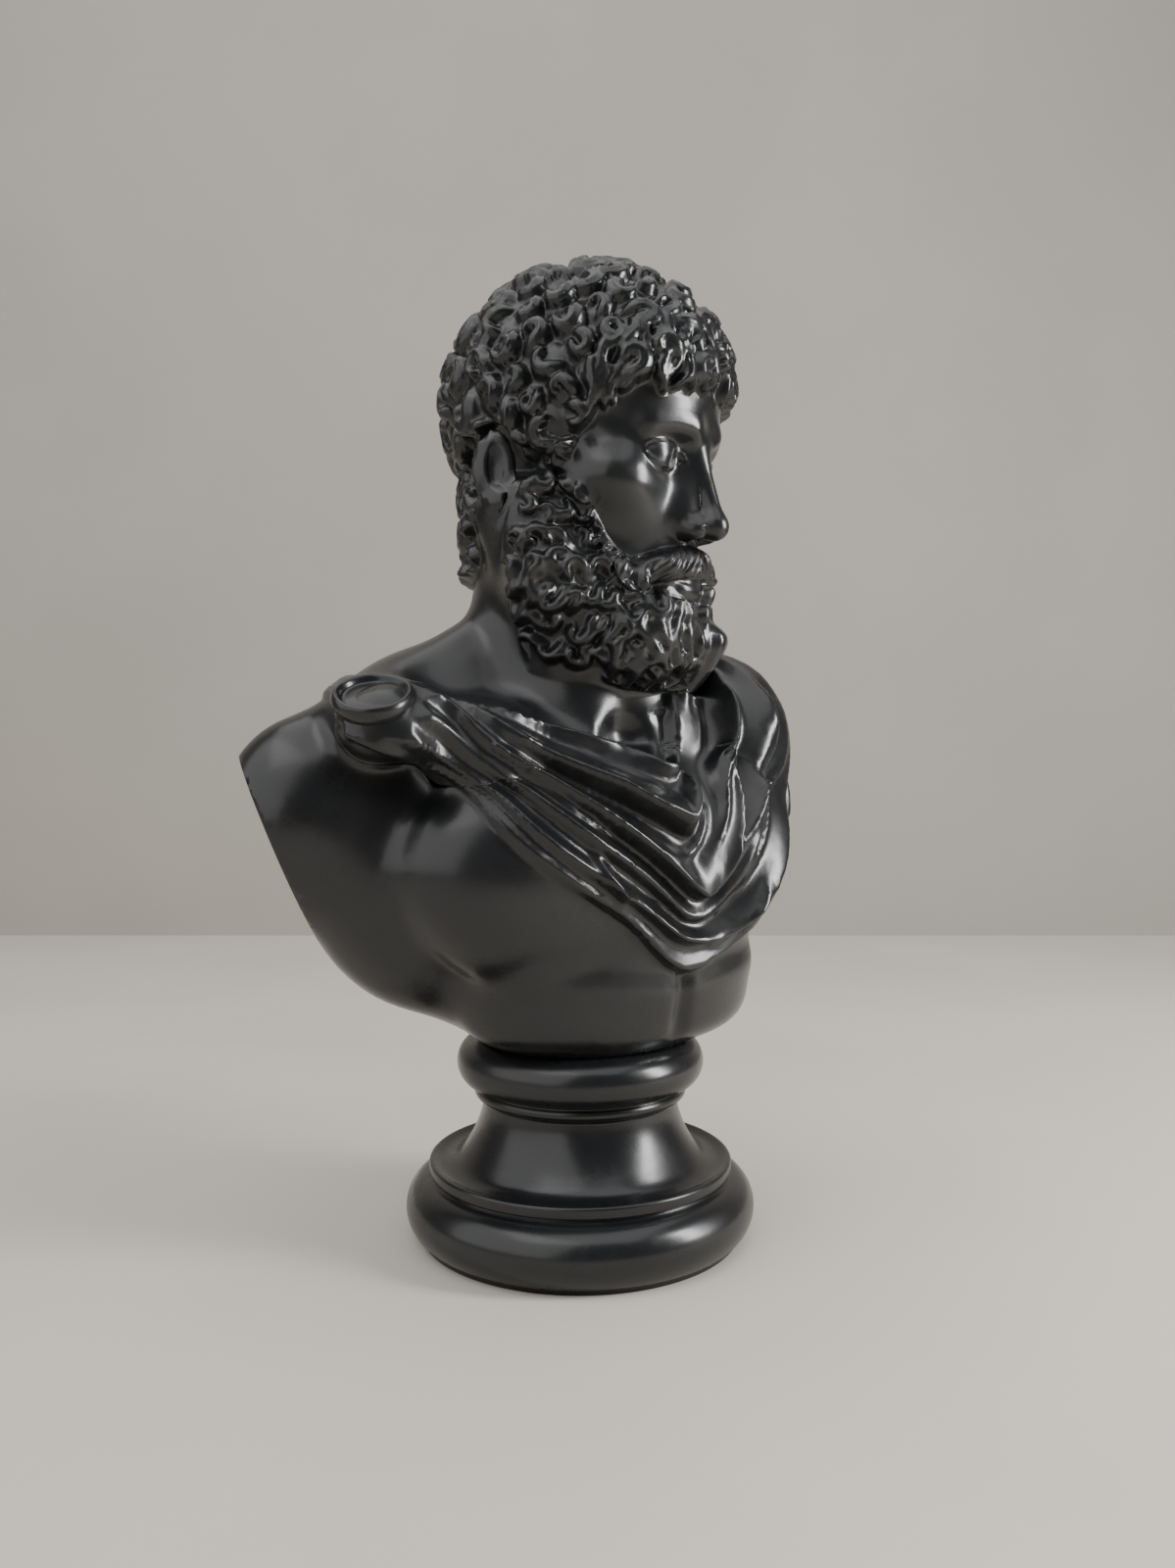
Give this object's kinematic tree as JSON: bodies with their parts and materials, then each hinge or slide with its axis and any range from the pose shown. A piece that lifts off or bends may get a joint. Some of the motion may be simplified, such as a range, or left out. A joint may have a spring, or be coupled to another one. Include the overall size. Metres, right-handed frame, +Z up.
{
  "type": "roman emperor bust",
  "caption": "Portrait bust of a bearded Roman emperor in a cloak pinned at the right shoulder, head turned to its left, on a turned round socle, all black.",
  "frame": {"origin": "centre of the socle's underside", "axes": "+Z up, the chest faces -Y, the figure's left shoulder is towards +X, and the head is turned towards its left"},
  "size_m": [0.3634, 0.1998, 0.5529],
  "materials": {
    "bust_paint": "black satin lacquer on a cast",
    "socle_paint": "black satin lacquer on a cast"
  },
  "bodies": {
    "root": {"bust": "bust_paint", "socle": "socle_paint"}
  },
  "joints": []
}
